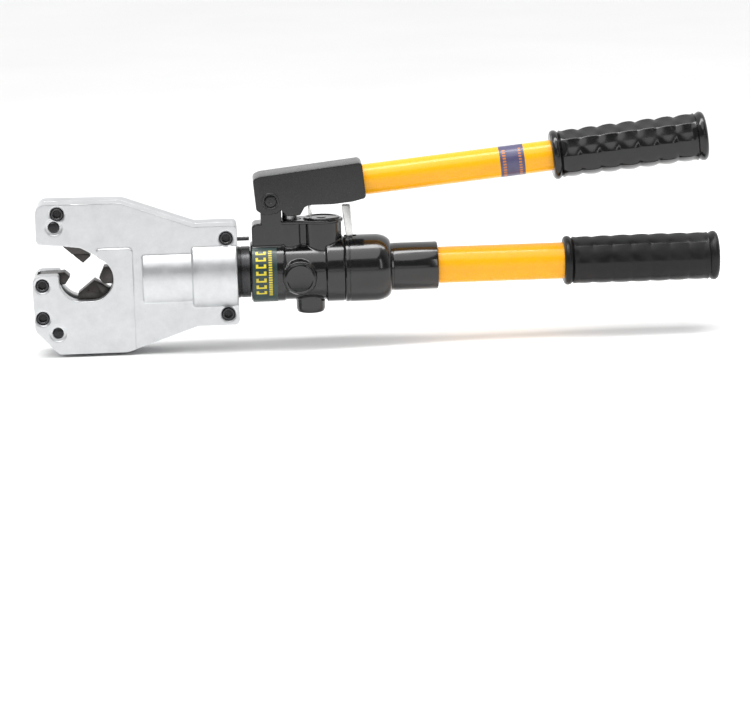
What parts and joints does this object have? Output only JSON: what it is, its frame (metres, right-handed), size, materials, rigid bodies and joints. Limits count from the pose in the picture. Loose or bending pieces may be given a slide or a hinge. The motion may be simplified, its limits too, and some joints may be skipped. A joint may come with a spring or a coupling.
{
  "type": "hydraulic crimping tool",
  "caption": "Hand-pumped hydraulic crimping tool: turning open C head with indenters closed by a ram, pump body, fixed handle and pumping handle with rubber grips.",
  "frame": {"origin": "centre of the fixed handle's grip, on the tool's axis", "axes": "+X along the tool's axis from the head towards the fixed handle's end, +Z towards the pumping handle, -Y the front of the tool"},
  "size_m": [0.5624, 0.062, 0.1792],
  "materials": {
    "cast_aluminium": "fine satin casting, bead blasted",
    "black_enamel": "semi-gloss black enamel over a casting",
    "black_steel": "black oxide steel",
    "hardened_steel": "dark hardened tool steel, oiled",
    "pin_steel": "dark ground pin",
    "machined_steel": "machined steel",
    "spring_steel": "drawn spring wire",
    "bright_zinc": "bright zinc plate",
    "yellow_enamel": "gloss yellow-orange enamel",
    "grip_rubber": "moulded black rubber, semi-gloss",
    "seal_rubber": "nitrile rubber",
    "green_label": "dark green vinyl label with plain yellow marks",
    "blue_label": "dark blue vinyl label with plain orange marks"
  },
  "bodies": {
    "pump": {"pump_body": "black_enamel", "label_band": "green_label", "neck_grub_screw": "black_steel", "plunger_gland": "machined_steel", "reservoir_cap": "black_enamel", "stop_pin": "black_steel", "valve_cap": "black_enamel", "valve_balls": "machined_steel", "valve_springs": "spring_steel", "bottom_plug": "black_steel", "rear_bell": "black_enamel", "lower_tube": "yellow_enamel", "oil_bladder": "seal_rubber", "bladder_clamp": "machined_steel", "tube_end_plug": "machined_steel", "lower_grip": "grip_rubber", "release_spring": "spring_steel"},
    "head": {"head_cover_front": "cast_aluminium", "head_cover_back": "cast_aluminium", "frame_plate_front": "machined_steel", "frame_plate_back": "machined_steel", "cover_screws": "black_steel", "lever_pivot_pin": "pin_steel", "anvil_dowel": "pin_steel", "anvil_block": "hardened_steel", "anvil_indenter": "hardened_steel", "cylinder": "black_steel", "neck_seal": "seal_rubber", "cylinder_gland": "machined_steel", "index_pin": "black_steel", "return_spring": "spring_steel"},
    "ram": {"piston": "machined_steel", "piston_seal": "seal_rubber", "ram_rod": "machined_steel", "drive_block": "hardened_steel", "ram_indenter": "hardened_steel", "lower_indenter": "hardened_steel"},
    "lever": {"upper_lever": "hardened_steel", "upper_indenter": "hardened_steel", "lever_roller": "pin_steel"},
    "handle": {"handle_bracket": "black_enamel", "pivot_pin": "black_enamel", "link_pin": "black_steel"},
    "handle_tube": {"upper_tube": "yellow_enamel", "release_cam": "machined_steel", "upper_grip": "grip_rubber", "sticker_band": "blue_label"},
    "plunger": {"plunger": "machined_steel"},
    "release": {"release_lever": "bright_zinc"}
  },
  "joints": [
    {"name": "head_turn", "type": "hinge", "parent": "pump", "child": "head", "pos_m": [-0.3311, 0, 0], "axis": [1, 0, 0], "range_deg": [-180, 180]},
    {"name": "ram_slide", "type": "slide", "parent": "head", "child": "ram", "axis": [-1, 0, 0], "range_m": [0, 0.012], "stiffness_N_per_m": 3000, "springref_m": -0.01, "deforming": ["return_spring"]},
    {"name": "lever_turn", "type": "hinge", "parent": "head", "child": "lever", "pos_m": [-0.4791, 0, 0.0451], "axis": [0, 1, 0], "range_deg": [0, 9.79]},
    {"name": "handle_pump", "type": "hinge", "parent": "pump", "child": "handle", "pos_m": [-0.3031, 0, 0.06], "axis": [0, -1, 0], "range_deg": [0, 45]},
    {"name": "plunger_slide", "type": "slide", "parent": "pump", "child": "plunger", "axis": [0, 0, 1], "range_m": [0, 0.0124]},
    {"name": "handle_twist", "type": "hinge", "parent": "handle", "child": "handle_tube", "pos_m": [-0.30363, 0, 0.06557], "axis": [0.9955, 0, 0.0946], "range_deg": [0, 90]},
    {"name": "release_press", "type": "slide", "parent": "pump", "child": "release", "axis": [0, 0, -1], "range_m": [0, 0.003], "stiffness_N_per_m": 600, "springref_m": -0.002, "deforming": ["release_spring"]}
  ],
  "couplings": [
    {"joint": "lever_turn", "follows": "ram_slide", "rad_per_m": 14.166},
    {"joint": "plunger_slide", "follows": "handle_pump", "m_per_rad": 0.0157}
  ]
}
